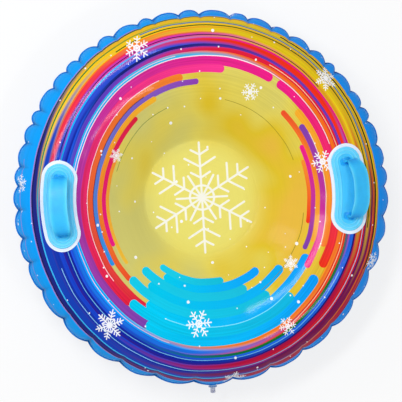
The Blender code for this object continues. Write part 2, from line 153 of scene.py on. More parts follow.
# Section lines in millimetres: how far in from the edge, how deep or high
PATCH_WELD_LINE = ((1.4, 0), (1.8, 0.15), (2.6, 0.2), (3.4, 0.15), (3.8, 0), (6, 0))
PLATE_ROLLED_EDGE = ((0, -0.8), (0.4, -0.2), (1.4, 0.4), (2.8, 0.3), (4.5, -0.3))

# Tones of the moulded blue, from 0 (pale) to 1 (deep). The groove, well and band-end tones are
# painted shade, the band-edge tone is a painted highlight
PLATE_EDGE_TONE = 0.12
PLATE_MIDDLE_TONE = 0.26
PLATE_RIM_TONE = 0.25
GROOVE_PAINTED_SHADE = 0.3
WELL_PAINTED_SHADE = 0.62
BAND_TONE = 0.7
BAND_EDGE_PAINTED_HIGHLIGHT = -0.36
BAND_END_PAINTED_SHADE = 0.45

# Valve: its place on the base's wall, and the way out of it
VALVE_PLACE = Vector((0, -0.496466, -0.027454))
VALVE_OUT = Vector((0, -0.980553, -0.196255))
VALVE_SIDES = 48

# Shader nodes
COLOURS = {"out": 2, "data_type": "RGBA"}
SOFTLY = {"interpolation_type": "SMOOTHSTEP"}
NOISE_SPAN = (0.3, 0.7)  # where most of a noise lies


def linear(hex_colour):
    """The linear colour of an sRGB hex value such as #0a9bf5."""
    parts = [int(hex_colour[i : i + 2], 16) / 255 for i in (1, 3, 5)]
    return (*[p / 12.92 if p <= 0.04045 else ((p + 0.055) / 1.055) ** 2.4 for p in parts], 1)


def add_node(tree, kind, inputs=(), out=0, **settings):
    """Adds a node, such as "Math ADD". Inputs are values or sockets, by place or name."""
    kind, *operation = kind.split()
    node = tree.nodes.new(kind if kind.startswith("NodeGroup") else "ShaderNode" + kind)
    if operation:
        node.operation = operation[0]
    for name, value in settings.items():
        setattr(node, name, value)
    for key, value in inputs.items() if isinstance(inputs, dict) else enumerate(inputs):
        if isinstance(value, bpy.types.NodeSocket):
            tree.links.new(value, node.inputs[key])
        else:
            node.inputs[key].default_value = value
    return node.outputs[out] if node.outputs else node


def emptied(owner):
    """This material or world with an empty tree, and what adds nodes to it."""
    owner.use_nodes = True
    owner.node_tree.nodes.clear()
    return owner, partial(add_node, owner.node_tree)


def in_scene(name, data):
    """An object with this data, in the scene."""
    made = bpy.data.objects.new(name, data)
    bpy.context.scene.collection.objects.link(made)
    return made


def heading(degrees):
    """The level direction at this many degrees from X."""
    return Vector((cos(radians(degrees)), sin(radians(degrees)), 0))


def standing(place, out, side):
    """What stands at a place, with Z out of it and X to one side."""
    turn = Matrix((side, out.cross(side), out)).transposed()
    return Matrix.Translation(place) @ turn.to_4x4()


# The ring's surface


def fold_angles():
    """Where the rim's folds lie. The lobes are widest at the valve."""
    number = np.arange(LOBES)
    turn = 2 * pi * (number + 0.5) / LOBES
    angle = turn + WIDE_LOBE_SHARE * np.sin(turn) + TIGHT_LOBE_SHARE * np.sin(2 * turn)
    uneven = UNEVEN_LOBE_SHARE * 2 * pi / LOBES * np.sin(number**2) * np.sin(turn / 2)
    return angle + uneven - pi / 2


FOLDS = fold_angles()
FOLD_DEPTHS = 1 - FOLD_DEPTH_VARIETY * (1 + np.sin(5 * np.arange(LOBES))) / 2
FOLD_DEPTHS *= PUCKER_DEPTH


def rim_columns():
    """Angle of each column, its place on its lobe (-1 to 1) and the nearer fold."""
    even = 2 * np.arange(LOBE_COLUMNS) / LOBE_COLUMNS - 1
    place = np.sign(even) * np.abs(even) ** COLUMN_CROWDING
    widths = np.diff(FOLDS, append=FOLDS[0] + 2 * pi)
    angles = FOLDS[:, None] + widths[:, None] * (place + 1) / 2
    nearer = (np.arange(LOBES)[:, None] + (place >= 0)) % LOBES
    return angles.ravel(), np.tile(place, LOBES), nearer.ravel()


def unit(rows):
    """These rows of directions, each of length 1."""
    return rows / np.linalg.norm(rows, axis=-1, keepdims=True)


def outer_wall(quarter, crest, rise):
    """Radius, height and normal of the outer wall, from the weld (1) to the crest (0)."""
    angle = quarter * pi / 2
    spread = WELD_RADIUS**2 - crest**2
    radius = np.sqrt(crest**2 + spread * np.sin(angle))
    normal = np.stack([rise * np.sin(angle), spread * np.cos(angle) / (2 * radius)], -1)
    return radius, rise * np.cos(angle), unit(normal)


def inner_wall(share, crest, rise):
    """The same for the inner wall, from the crest (0) to the seat (1)."""
    width = crest - SEAT_RADIUS
    power = WALL_BEND + 1
    fall = (power * share - 1 + (1 - share) ** power) / WALL_BEND
    slope = rise / width * power / WALL_BEND * (1 - (1 - share) ** WALL_BEND)
    normal = unit(np.stack([-slope, np.ones_like(slope)], -1))
    return crest - share * width, rise * (1 - fall), normal


def meridian(thickness, band):
    """A sheet's outer face from its welded edge to the seat's middle, row by row."""
    rise = RING_HEIGHT / 2 - LAYER_GAP / 2 - thickness
    far = LAYER_GAP / 2 + thickness
    outer_crest, inner_crest = CREST_RADIUS + band / 2, CREST_RADIUS - band / 2
    quarters = 1 - np.linspace(0, 1, OUTER_ROWS + 1)[1:] ** OUTER_CROWDING
    shares = np.linspace(0, 1, INNER_ROWS + 1)[1:] ** INNER_CROWDING
    seat = [0.1528, 0.15, SEAT_RADIUS - SEAT_WELD_WIDTH, 0.1465, 0.14]
    parts = [
        (np.array([RIM_RADIUS, (RIM_RADIUS + WELD_RADIUS) / 2]), 0, (1, 0), 1),
        (*outer_wall(np.array([1]), outer_crest, rise), 1),
        (*outer_wall(quarters, outer_crest, rise), quarters),
        (*inner_wall(shares, inner_crest, rise), 0),
        (np.append(seat, np.linspace(0.13, 0.012, SEAT_ROWS)), 0, (0, 1), 0),
    ]
    if band:
        across = np.linspace(outer_crest, inner_crest, 6)[1:]
        parts.insert(3, (across, rise, (0, 1), 0))
    rows = []
    for radius, height, normal, quarter in parts:
        height, quarter = (np.broadcast_to(value, radius.shape) for value in (height, quarter))
        rows.append((radius, height + far, np.broadcast_to(normal, (len(radius), 2)), quarter))
    radius, height, normal, quarter = map(np.concatenate, zip(*rows))
    steps = np.hypot(np.diff(radius), np.diff(height))
    flat = radius[-1] + np.append(np.cumsum(steps[::-1])[::-1], 0)
    return radius, height, normal, quarter, flat


def smooth(value):
    """0 up to 0, 1 from 1 on, and a soft step between them."""
    value = np.clip(value, 0, 1)
    return value * value * (3 - 2 * value)


def swell(value, rise, end, fade):
    """Rises softly from 0 to 1 over the first stretch, and fades before the end."""
    return smooth(value / rise) * smooth((end - value) / fade)


def wrapped(angle):
    """An angle between half a turn back and half a turn on."""
    return np.angle(np.exp(1j * angle))


def around(radius, angle, height):
    """Points at a radius, an angle and a height."""
    parts = np.broadcast_arrays(radius * np.cos(angle), radius * np.sin(angle), height)
    return np.stack(parts, -1)


def drawn_in(angle, place, nearer, quarter, from_weld, side):
    """How far folds, pillows, creases and dents draw points in along the normal."""
    fold = smooth((quarter - 1 + FOLD_REACH_SHARE) / FOLD_REACH_SHARE) ** FOLD_TAPER
    sharpness = FOLD_SHARPNESS + FOLD_NARROWING * (1 - fold) + FOLD_VARIETY * np.sin(7 * nearer)
    drawn = FOLD_DEPTHS[nearer] * fold * np.abs(place) ** sharpness
    drawn -= PILLOW_HEIGHT * swell(from_weld, *PILLOW_SPAN) * (1 - place**2)
    rng = np.random.RandomState(41 + side)
    for k in range(LOBES):
        wide = wrapped(FOLDS[(k + 1) % LOBES] - FOLDS[k]) / 2
        for _ in range(CREASES_PER_FOLD):
            offset = rng.uniform(-CREASE_OFFSET, CREASE_OFFSET) * wide
            slant = rng.uniform(-CREASE_SLANT, CREASE_SLANT) * wide
            begin, length = rng.uniform(*CREASE_STARTS), rng.uniform(*CREASE_LENGTHS)
            depth, width = rng.uniform(*CREASE_DEPTHS), rng.uniform(*CREASE_WIDTHS)
            along = (from_weld - begin) / length
            apart = wrapped(angle - FOLDS[k] - offset - slant * along) * WELD_RADIUS
            drawn += depth * swell(along, *CREASE_SPAN) * np.exp(-((apart / width) ** 2))
    wave = np.sin(9 * angle + 40 * from_weld + side) * np.sin(23 * from_weld - 5 * angle)
    wave += 0.6 * np.sin(17 * angle - 31 * from_weld) * np.sin(12 * angle + 9 * from_weld + 2)
    return drawn + DENT_DEPTH * wave * swell(from_weld, *DENT_SPAN)


def seat_drawn_in(angle, radius):
    """The same on the seat: a slight ripple and the pressed ring of its weld."""
    ripple = SEAT_RIPPLE * np.sin(3 * angle + 40 * radius)
    ripple *= smooth((SEAT_RADIUS - radius) / SEAT_RIPPLE_FADE)
    return ripple + SEAT_WELD_DEPTH * (SEAT_RADIUS - SEAT_WELD_WIDTH < radius < SEAT_RADIUS)


def beside_patches(angle, radius):
    """0 on the handle patches, 1 away from them."""
    along = np.abs(wrapped(2 * angle) / 2) * CREST_RADIUS
    straight = (PATCH_LENGTH - PATCH_WIDTH) / 2
    away = np.hypot(np.maximum(along - straight, 0), radius - CREST_RADIUS)
    return smooth((away - PATCH_WIDTH / 2) / PATCH_SURROUND)


def film_faces(counts):
    """Faces between rows, also where one has half as many points, and round the middle."""
    faces, a = [], 0
    for m, n in zip(counts, counts[1:]):
        b = a + m
        for i in range(n):
            j = (i + 1) % n
            if m == n:
                faces.append((a + i, a + j, b + j, b + i))
                continue
            p, q, s = a + 2 * i, a + 2 * i + 1, a + (2 * i + 2) % m
            faces += [(p, q, b + i), (q, b + j, b + i), (q, s, b + j)]
        a = b
    return faces + [(a + i, a + (i + 1) % n, a + n) for i in range(n)]


def film(name, side, thickness, band):
    """A sheet's outer face with its flat places and map, thickened inwards."""
    radius, height, normal, quarter, flat = meridian(thickness, band)
    columns = rim_columns()
    levels = np.searchsorted(-np.array(THINNING_RADII), -radius)
    rows = []
    for i, level in enumerate(levels):
        angle, place, nearer = (column[:: 2**level] for column in columns)
        if radius[i] <= SEAT_RADIUS:
            drawn = seat_drawn_in(angle, radius[i])
        else:
            from_weld = max(flat[0] - flat[i] - (RIM_RADIUS - WELD_RADIUS), 0)
            drawn = drawn_in(angle, place, nearer, quarter[i], from_weld, side)
            if quarter[i] < CREST_QUARTER and side > 0:
                drawn *= beside_patches(angle, radius[i])
            elif quarter[i] < CREST_QUARTER:
                drawn = np.maximum(drawn, 0)  # so that the rest band stays flat
        wave = SEAM_WAVE * (np.sin(2.4 * nearer) * (1 - place**2) - 0.4) * smooth(quarter[i]) ** 2
        r = radius[i] - drawn * normal[i][0]
        z = SEAM_Z + side * (height[i] - drawn * normal[i][1]) + wave
        rows.append((around(r, angle, z), around(flat[i], angle, 0), drawn))
    counts = [len(row[0]) for row in rows]
    rows.append((np.array([[0, 0, SEAM_Z + side * height[-1]]]), np.zeros((1, 3)), np.zeros(1)))
    verts, print_places, painted_fold_shade = map(np.concatenate, zip(*rows))
    mesh = bpy.data.meshes.new(name)
    mesh.from_pydata(verts, [], [face[::side] for face in film_faces(counts)])
    stored = mesh.attributes.new("print_place", "FLOAT_VECTOR", "POINT")
    stored.data.foreach_set("vector", print_places.ravel())
    # The fold depth, kept for the painted shade in the folds
    mesh.attributes.new("painted_fold_shade", "FLOAT", "POINT").data.foreach_set("value", painted_fold_shade)
    corners = np.zeros(len(mesh.loops), int)
    mesh.loops.foreach_get("vertex_index", corners)
    flat_map = 0.5 + print_places[corners, :2] / (2 * MAP_MARGIN * flat[0])
    mesh.uv_layers.new(name="OFBake").data.foreach_set("uv", flat_map.ravel())
    mesh.shade_smooth()
    piece = in_scene(name, mesh)
    solid = piece.modifiers.new("film_thickness", "SOLIDIFY")
    solid.thickness = thickness
    solid.offset = -1
    return piece


# Moulded pieces


def round_faces(rows, sides, ends="flat"):
    """Faces between rows that go round. Their ends are flat, open, or meet in a ring."""
    last = (rows - 1) * sides
    faces = [tuple(range(sides)), tuple(range(last, last + sides))] if ends == "flat" else []
    for row in range(rows if ends == "ring" else rows - 1):
        a, b = row * sides, (row + 1) % rows * sides
        for i in range(sides):
            j = (i + 1) % sides
            faces.append((a + i, a + j, b + j, b + i))
    return faces


def piece_from(name, verts, faces, place, tones_and_painted_light=None):
    """A smooth closed piece in its place, with the tone of each point, painted shade and highlight
    included.
    """
    mesh = bpy.data.meshes.new(name)
    mesh.from_pydata(verts.reshape(-1, 3), [], faces)
    if tones_and_painted_light is not None:
        mesh.attributes.new("tone_and_painted_light", "FLOAT", "POINT").data.foreach_set("value", tones_and_painted_light.ravel())
    mesh.transform(place)
    fix = bmesh.new()
    fix.from_mesh(mesh)
    bmesh.ops.recalc_face_normals(fix, faces=fix.faces)
    fix.to_mesh(mesh)
    fix.free()
    mesh.shade_smooth()
    return in_scene(name, mesh)


def spline(points, steps):
    """Points on a Catmull-Rom curve through these rows."""
    points = np.array(points)
    before, after = 2 * points[:1] - points[1:2], 2 * points[-1:] - points[-2:-1]
    padded = np.concatenate([before, points, after])
    t = np.linspace(0, 1, steps, endpoint=False)[:, None]
    made = []
    for a, b, c, d in zip(padded, padded[1:], padded[2:], padded[3:]):
        bend = (2 * a - 5 * b + 4 * c - d) * t**2 + (3 * b - a - 3 * c + d) * t**3
        made.append(b + 0.5 * ((c - a) * t + bend))
    return np.concatenate([*made, points[-1:]])


def section(half, wave, power):
    """Half a width round a section. The lower its power, the squarer it is."""
    return half * np.sign(wave) * np.abs(wave) ** power


# Handle patches and plates

END_STEPS = 32
SIDE_STEPS = 64


def on_crest(outline, lift):
    """Points over the top sheet from (along, across) pairs and the lift of each."""
    rise = RING_HEIGHT / 2 - LAYER_GAP / 2 - TOP_THICKNESS
    along, across = outline[:, 0], outline[:, 1]
    radius = CREST_RADIUS + across
    spread = WELD_RADIUS**2 - CREST_RADIUS**2
    quarter = np.arcsin(np.clip((radius**2 - CREST_RADIUS**2) / spread, 0, 1)) * 2 / pi
    _, out_height, out_normal = outer_wall(quarter, CREST_RADIUS, rise)
    share = np.clip(-across, 0, None) / (CREST_RADIUS - SEAT_RADIUS)
    _, in_height, in_normal = inner_wall(share, CREST_RADIUS, rise)
    outside = across > 0
    height = np.where(outside, out_height, in_height)
    normal = np.where(outside[:, None], out_normal, in_normal)
    r, z = radius + lift * normal[:, 0], height + lift * normal[:, 1]
    return around(r, along / CREST_RADIUS, z)


def oblong(inset):
    """The patch's outline, or one inside it, as (along, across) pairs from a tip on."""
    reach, radius = (PATCH_LENGTH - PATCH_WIDTH) / 2, PATCH_WIDTH / 2 - inset
    turn = np.linspace(0, pi / 2, END_STEPS // 2 + 1)
    side = reach * (1 - 2 * np.arange(1, SIDE_STEPS) / SIDE_STEPS)
    end = np.stack([reach + radius * np.cos(turn), radius * np.sin(turn)], -1)
    middle = np.stack([side, np.full_like(side, radius)], -1)
    half = np.concatenate([end, middle, end[::-1] * (-1, 1)])
    return np.concatenate([half, half[-2:0:-1] * (1, -1)])


def foot_relief(outline):
    """Depth of the wells for the band's feet (0 to 1), and height of their bosses."""
    foot = CREST_RADIUS * asin(GRIP_SPAN / 2 / CREST_RADIUS)
    off = np.abs(np.abs(outline) - (foot, 0))
    past = np.maximum(off - np.array(FOOT_WELL) / 2 + FOOT_WELL_CORNER, 0)
    past_wall = np.hypot(*past.T) - FOOT_WELL_CORNER + 0.8 * FOOT_WELL_SLOPE
    off = np.hypot(*(off / FOOT_BOSS).T) * 2
    boss = FOOT_BOSS_HEIGHT * np.sqrt(np.clip(1 - off**2, 0, 1))
    return 1 - smooth(past_wall / FOOT_WELL_SLOPE), boss


def crest_plate(name, border, rows, angle, feet=False):
    """A closed plate on the crest. rows are (inset, lift), from under its middle on."""
    verts, tones_and_painted_light = [], []
    for place, (inset, lift) in enumerate(rows):
        outline = oblong(border + inset)
        lifts = np.full(len(outline), lift)
        low = np.clip((PLATE_TOP + RIB_HEIGHT / 2 - lift) / RIB_HEIGHT, 0, 1)
        tone_and_painted_light = PLATE_EDGE_TONE + PLATE_MIDDLE_TONE * smooth((inset - 0.01) / 0.014)
        # Painted shade in the grooves between the ribs, and a deeper tone on the plate's outer rim
        tone_and_painted_light += GROOVE_PAINTED_SHADE * low + PLATE_RIM_TONE * (inset < 1 * MM)
        if feet and place > len(rows) / 2 and inset > RIB_INSETS[-1]:
            well, boss = foot_relief(outline)
            lifts += boss - well * FOOT_WELL_DEPTH
            # Painted shade in the wells for the band's feet
            tone_and_painted_light = tone_and_painted_light + WELL_PAINTED_SHADE * well
        verts.append(on_crest(outline, lifts))
        tones_and_painted_light.append(np.broadcast_to(tone_and_painted_light, lifts.shape))
    count = len(verts[0])
    faces = round_faces(len(rows), count, "open")
    half = count // 2
    for start, flip in ((0, 1), ((len(rows) - 1) * count, -1)):
        ends = [(0, 1, count - 1), (half - 1, half, half + 1)]
        strips = [(i, i + 1, count - i - 1, count - i) for i in range(1, half - 1)]
        faces += [tuple(start + i for i in face[::flip]) for face in ends + strips]
    turn = Matrix.Rotation(angle, 4, "Z")
    return piece_from(name, np.array(verts), faces, turn, np.array(tones_and_painted_light) if feet else None)


def patch_rows():
    """The welded patch: a rounded edge and a shallow pressed weld line inside it."""
    half = PATCH_WIDTH / 2
    low, high = PATCH_LIFT, PATCH_LIFT + PATCH_THICKNESS
    rows = [(inset, low) for inset in np.linspace(half * 0.96, 0.0004, 10)]
    rows += [(0, low + 0.0003), (0, high - 0.0003), (0.0004, high)]
    rows += [(inset * MM, high - depth * MM) for inset, depth in PATCH_WELD_LINE]
    return rows + [(inset, high) for inset in np.linspace(0.01, half * 0.96, 9)]


def plate_rows():
    """The moulded plate: a rolled edge, two rounded ribs and a shallow channel."""
    half = PATCH_WIDTH / 2 - PLATE_BORDER
    channel = PLATE_TOP - CHANNEL_DEPTH
    rows = [(inset, PLATE_LIFT) for inset in np.linspace(half * 0.96, 0.0006, 8)]
    rows.append((0, PLATE_LIFT + 0.0006))
    rows += [(inset * MM, PLATE_TOP + rise * MM) for inset, rise in PLATE_ROLLED_EDGE]
    for start in RIB_INSETS:
        for share in np.linspace(0, 1, 9):
            rise = RIB_HEIGHT * sin(pi * share) ** 1.4
            rows.append((start + RIB_WIDTH * share, channel + rise))
    inner = RIB_INSETS[-1] + RIB_WIDTH + 0.001
    return rows + [(inset, channel) for inset in np.linspace(inner, half * 0.97, 14)]


# Grips

# Stations of the band from the tip of its foot to its middle, in millimetres: along, height over
# the hinge line, half width, half thickness. The last number is how square the section is.
GRIP_STATIONS = (
    (79.6, 0, 0.6, 0.6, 1), (79.2, 0, 3, 2.8, 1),
    (78, 0, 5.2, 4.8, 1), (75.6, 0, 6.6, 5.6, 1),
    (73.2, 0.6, 7.6, 5.4, 0.95), (72.2, 3.6, 9, 4.4, 0.85),
    (73.6, 8.4, 12, 3.4, 0.75), (74.4, 14, 15.6, 2.7, 0.7),
    (72.2, 20.2, 19, 2.2, 0.65), (66.2, 26.6, 21.6, 2, 0.6),
    (56, 32.4, 23.4, 2, 0.6), (42, 36.8, 24, 2, 0.6),
    (24, 39.4, 24, 2, 0.6), (0, 40, 24, 2, 0.6),
)
GRIP_SIDES = 40
STATION_STEPS = 5
EDGE_ROLL = 0.0005


def grip_band(name, angle, lean, untwist):
    """The soft band. What is above its round feet leans, and twists part way back."""
    half = spline(GRIP_STATIONS, STATION_STEPS) * (MM, MM, MM, MM, 1)
    stations = np.concatenate([half, half[-2::-1] * (-1, 1, 1, 1, 1)])
    along, height, wide, thick, square = stations.T[:, :, None]
    run = unit(np.gradient(stations[:, :2], axis=0))
    feet = GRIP_SPAN / 2 - FOOT_RADIUS
    inside = np.minimum(np.abs(along), feet)
    bow = np.sqrt(CREST_RADIUS**2 - inside**2) - np.sqrt(CREST_RADIUS**2 - feet**2)
    turn = 2 * pi * np.arange(GRIP_SIDES) / GRIP_SIDES
    out, up = section(wide, np.cos(turn), square), section(thick, np.sin(turn), square)
    rolled = smooth((np.abs(np.cos(turn)) - 0.72) / 0.16) * np.sign(np.sin(turn))
    up += EDGE_ROLL * rolled * smooth((height - 0.012) / 0.012)
    twist = untwist * smooth((height - 0.002) / 0.03)
    out, up = out * np.cos(twist) - up * np.sin(twist), up * np.cos(twist) + out * np.sin(twist)
    x, y, z = bow + out, along + up * run[:, 1:2], height - up * run[:, 0:1]
    tilt = lean * smooth((z - BEND_START) / (BEND_END - BEND_START))
    cosine, sine = np.cos(tilt), np.sin(tilt)
    verts = np.stack([x * cosine + z * sine, y, z * cosine - x * sine], -1)
    # Painted highlight: paler along both edges of the band
    tone_and_painted_light = BAND_TONE + BAND_EDGE_PAINTED_HIGHLIGHT * smooth((np.abs(np.cos(turn)) - 0.25) / 0.7)
    # Painted shade at the band's low ends, where they meet the plate
    tone_and_painted_light = tone_and_painted_light + BAND_END_PAINTED_SHADE * smooth((0.034 - height) / 0.02)
    axis = Matrix.Translation((GRIP_AXIS_RADIUS, 0, GRIP_AXIS_Z))
    faces = round_faces(len(stations), GRIP_SIDES)
    return piece_from(name, verts, faces, Matrix.Rotation(angle, 4, "Z") @ axis, tone_and_painted_light)


# Valve. Profiles are (radius, height over the sheet) in millimetres. The tube slides in the collar
# with 0.9 mm to spare, and the stopper's shank in the tube with 0.3 mm.

# Each turned piece that is seen: its name, body, slot and node, what its ends do, and profile
VALVE_PIECES = (
    ("valve_collar", "sled", "clear_blue", "valve_flange", "ring", (
        (7.1, -3), (12.7, -3), (12.7, -0.2), (10.4, 0.6), (9.2, 2.2), (9.2, 13.8),
        (9.8, 14.4), (9.8, 16.6), (9.2, 17), (7.1, 17),
    )),
    ("valve_tube", "stem", "clear_lilac", "valve_stem", "ring", (
        (4, -3), (6.8, -3), (6.8, 1), (6.2, 1), (6.2, 22), (6.6, 22.6),
        (6.6, 24.2), (6.2, 25), (4, 25),
    )),
    ("valve_stopper", "plug", "clear_lilac", "valve_plug", "flat", (
        (2.7, 15), (3.7, 16.5), (3.7, 25.3), (6.6, 25.3), (6.6, 27.7), (5, 27.7),
        (5, 29.9), (6.6, 29.9), (6.6, 31.7), (5.8, 32.3), (4.2, 32.3), (3.6, 31.7),
    )),
)
FLAP_DISC = ((5.4, -4.1), (5.4, -3.3), (2.7, -3.3), (2.16, -3.4))
EDGE_SOFTNESS = 0.3
THIN_SOFTNESS = 0.2

# The tether's ends: inner and outer radius, lower and upper face
TETHER_ENDS = (("tether_ring", 10, 11.6, 13.6, 15.4), ("tether_eye", 5.2, 7, 28.1, 29.5))

# The tether's arm, from its eye to its ring: how far up the wall, and height over the sheet
TETHER_ARM = ((-6, 28.8), (-9.3, 29.1), (-11, 28), (-11.2, 22.9), (-10.8, 14.5))
STRAP_THICKNESS = 0.0014
STRAP_WIDTH = 0.005
STRAP_SIDES = 16

# X lies along the rim, Y up the wall
VALVE_FRAME = standing(VALVE_PLACE, VALVE_OUT, Vector((1, 0, 0)))


def turned(name, profile, ends, softness):
    """A turned piece of the valve with softened edges."""
    radius, height = np.array(profile).T[:, :, None] * MM
    turn = 2 * pi * np.arange(VALVE_SIDES) / VALVE_SIDES
    faces = round_faces(len(profile), VALVE_SIDES, ends)
    piece = piece_from(name, around(radius, turn, height), faces, VALVE_FRAME)
    bevel = piece.modifiers.new("soft_edges", "BEVEL")
    bevel.width = softness * MM
    bevel.segments = 3
    bevel.limit_method = "ANGLE"
    bevel.angle_limit = radians(40)
    return piece


def tether_arm():
    """The flat strip between the tether's eye and its ring, with rounded edges."""
    points = spline([(0, up * MM, out * MM) for up, out in TETHER_ARM], 6)
    run = unit(np.gradient(points, axis=0))
    turn = 2 * pi * np.arange(STRAP_SIDES) / STRAP_SIDES
    wide = section(STRAP_WIDTH / 2, np.cos(turn), 0.5)
    thick = section(STRAP_THICKNESS / 2, np.sin(turn), 0.7)
    normal = np.stack([0 * run[:, 0], -run[:, 2], run[:, 1]], -1)[:, None]
    verts = points[:, None] + normal * thick[:, None] + wide[:, None] * (1, 0, 0)
    return piece_from("tether_arm", verts, round_faces(len(points), STRAP_SIDES), VALVE_FRAME)


def joined(name, first, *others):
    """One clean solid out of pieces that overlap."""
    for other in others:
        union = first.modifiers.new("join_" + other.name, "BOOLEAN")
        union.operation, union.solver, union.object = "UNION", "EXACT", other
    evaluated = first.evaluated_get(bpy.context.evaluated_depsgraph_get())
    mesh = bpy.data.meshes.new_from_object(evaluated)
    for piece in (first, *others):
        bpy.data.objects.remove(piece)
    mesh.name = name
    mesh.shade_smooth()
    return in_scene(name, mesh)


# The print. Places in it are polar: millimetres from the middle of the flat sheet, degrees.

PRINT_SHIFT = (0.007, -0.009, 0)
PRINT_STRETCH = (1.012, 0.935, 1)

# Rings: their inner radius, and ink at the upper right, upper left, lower left and lower right
RINGS_START = 380
RINGS_END = 580
RINGS = (
    (0, "#e03020", "#2f5fd8", "#19c3ee", "#e8a823"),
    (386, "#ee6a1c", "#1fb6e6", "#0a9bf5", "#ee7a2a"),
    (396, "#d81f3a", "#5b3fb8", "#1a6fe0", "#e03a24"),
    (407, "#6d3bb0", "#16206e", "#1c4fd0", "#127034"),
    (414, "#ea2f1a", "#2a49c8", "#12249a", "#1d62dd"),
    (428, "#e2207f", "#12a8f0", "#2b1f8f", "#1b1a70"),
    (433, "#dfa321", "#d838a8", "#1741c4", "#b3123f"),
    (444, "#e2c31c", "#e8304a", "#1434a6", "#cf2230"),
    (457, "#d2ae1e", "#f07020", "#2c3aa8", "#5a1860"),
    (461, "#dcae20", "#eec21e", "#1740b4", "#7a1650"),
    (479, "#c6b822", "#2c7a3a", "#39b6f5", "#d8641c"),
    (483, "#e0bd1e", "#e6b31e", "#1c2480", "#b0183a"),
    (495, "#d6a022", "#1d5a30", "#1a1856", "#941444"),
    # The margin: blue, deeper at the right than at the left
    (500, "#0090f4", "#009cf2", "#009df6", "#0090f4"),
)
# Yellows of the field from left to right; the olive at the left is painted shade
FIELD_YELLOWS_SHADED_LEFT = ((0.3, "#cdc670"), (0.5, "#dccb58"), (0.64, "#dbbd2c"), (0.8, "#e2b640"))
SEAT_YELLOW = "#e4da70"
CRYSTAL_WHITE = "#f4f6fb"
# Deeper blue of the painted shade along the rim's edge
RIM_SHADE_BLUE = "#0a66c8"
RIM_FLAT = meridian(TOP_THICKNESS, 0)[-1][0]

# Arcs with round ends: radius, width, first and last angle, first and last colour
ARCS = (
    (373, 23, 58, 238, "#e91e83", "#7a3fa8"), (354, 21, 80, 226, "#f0368f", "#d8203c"),
    (337, 19, 100, 233, "#f08028", "#d8203c"), (321, 15, 92, 208, "#8a3fae", "#2a8fe0"),
    (309, 15, 116, 219, "#f0b02c", "#e8502a"), (296, 13, 130, 200, "#d8203c", "#e91e83"),
    (285, 10, 150, 212, "#ef8a30", "#e8b83a"), (372, 27, 240, 322, "#00c8f0", "#0a9bf5"),
    (350, 26, 229, 309, "#00c4ea", "#10b4dc"), (326, 26, 236, 328, "#00c8f0", "#0a9bf5"),
    (304, 26, 222, 300, "#12c9ea", "#10b8d8"), (280, 26, 232, 315, "#00c4ea", "#0aa6f0"),
    (258, 26, 224, 290, "#12c9ea", "#19b9d8"), (235, 24, 238, 303, "#00c8f0", "#0a9bf5"),
    (216, 20, 232, 277, "#1accec", "#10b8d8"), (374, 23, 330, 412, "#e8321e", "#e91e83"),
    (354, 20, 338, 398, "#ef7a2a", "#f0a82c"), (339, 17, 326, 392, "#e91e83", "#7a3fa8"),
    (324, 15, 338, 403, "#f0a82c", "#e8502a"), (312, 13, 333, 384, "#7a3fa8", "#e91e83"),
    (301, 11, 346, 377, "#e8321e", "#ef8a30"),
)

# Thin lines: the same, with one colour
LINES = (
    (385, 2, 20, 170, "#fbe6ea"), (391, 1.6, 100, 250, "#f6cfd8"),
    (401, 1.8, 300, 420, "#f9c9a0"), (421, 1.6, 190, 330, "#7cc8f4"),
    (438, 2.2, 40, 160, "#1a1430"), (452, 1.6, 200, 350, "#9ad8ff"),
    (466, 3.4, -12, 120, "#46561c"), (476, 4.2, 10, 110, "#4a80a4"),
    (489, 5, -25, 60, "#332a12"), (502, 2.4, 110, 300, "#b06ac0"),
    (346, 1.6, 110, 215, "#fbd9e4"), (329, 1.6, 120, 200, "#2a1a3c"),
    (348, 1.8, 335, 388, "#fbe3c0"), (338, 1.6, 245, 312, "#8ae8fa"),
    (286, 1.4, 300, 350, "#6a6a1c"), (276, 1.3, 20, 75, "#8a7a1c"),
    (270, 1.4, 110, 160, "#5a7a3c"), (546, 1.8, 165, 215, "#a86ac0"),
)

# Dots: the spacing of their cells, the largest radius, the share of cells that have one
DOTS = ((52, 2.6, 0.35), (118, 5.2, 0.55))

# Snow crystals: radius and angle of their middle, size from tip to middle, turn
CRYSTALS = (
    (352, 14, 30, 8), (474, 40, 34, 20), (318, 63, 24, 0), (552, 77, 22, 12), (446, 113, 34, 25),
    (286, 152, 20, 5), (548, 172, 26, 10), (432, 226, 40, 14), (330, 262, 36, 2),
    (502, 276, 36, 22), (402, 301, 24, 10), (296, 322, 22, 26), (520, 338, 28, 4),
)
SEAT_CRYSTAL_SIZE = 0.148

# Strokes of each crystal: share of the arm where one starts, its lean off the arm, its length
FEATHERED = ((0, 0, 1), (0.42, 60, 0.24), (0.68, 60, 0.3), (0.24, 120, 0.14))
STARRED = ((0, 0, 1), (0.34, 60, 0.2), (0.54, 60, 0.24), (0.74, 60, 0.2), (0, 30, 0.52))
ORNATE = ((0, 0, 1), (0.36, 60, 0.2), (0.56, 60, 0.32), (0.78, 60, 0.18), (0, 30, 0.46))


def new_group(name, inputs, outputs):
    """A node group with these sockets, what adds to it and what comes in."""
    group = bpy.data.node_groups.new(name, "ShaderNodeTree")
    for way, sockets in (("INPUT", inputs), ("OUTPUT", outputs)):
        for socket, kind in sockets.items():
            group.interface.new_socket(socket, in_out=way, socket_type="NodeSocket" + kind)
    add = partial(add_node, group)
    return group, add, list(add("NodeGroupInput").node.outputs)[:-1]


